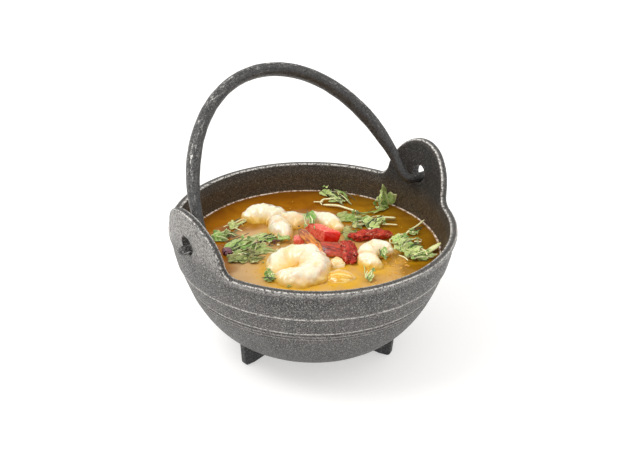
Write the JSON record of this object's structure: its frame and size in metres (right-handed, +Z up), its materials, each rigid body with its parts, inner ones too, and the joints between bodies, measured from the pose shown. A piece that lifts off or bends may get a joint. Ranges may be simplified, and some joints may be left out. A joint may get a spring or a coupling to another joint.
{
  "type": "tom yum soup in a cast-iron pot",
  "caption": "Clear orange tom yum soup with curled prawns, tomato, dried chilli and herbs in a round footed cast-iron pot with a swinging bail handle.",
  "frame": {"origin": "on the floor under the middle of the pot", "axes": "+Z up, X through the two ears and the bail's pivot, the bail leans towards +Y"},
  "size_m": [0.193, 0.18, 0.1679],
  "materials": {
    "cast_iron": "matt sand-cast iron, worn brighter on the edges",
    "forged_iron": "dark forged iron with worn bright streaks",
    "broth": null,
    "prawn": "wet cooked prawn flesh",
    "tomato": "wet tomato",
    "pepper": "wet orange-red pepper skin",
    "dried_chilli": "wet crinkled dried chilli",
    "onion": "wet translucent petal",
    "lemongrass": "pale stem",
    "shallot": "wet purple shallot"
  },
  "bodies": {
    "pot": {"pot": "cast_iron", "soup": "broth", "prawn_1": "prawn", "prawn_2": "prawn", "prawn_3": "prawn", "prawn_4": "prawn", "prawn_5": "prawn", "tomato_wedge": "tomato", "tomato_scrap": "tomato", "pepper_strip": "pepper", "pepper_scrap": "pepper", "dried_chilli_1": "dried_chilli", "dried_chilli_2": "dried_chilli", "onion_petal_1": "onion", "onion_petal_2": "onion", "lemongrass_strip": "lemongrass", "shallot_piece": "shallot"},
    "bail": {"bail": "forged_iron"}
  },
  "joints": [
    {"name": "bail_swing", "type": "hinge", "parent": "pot", "child": "bail", "pos_m": [0, 0, 0.0914], "axis": [1, 0, 0], "range_deg": [-50, 132]}
  ]
}
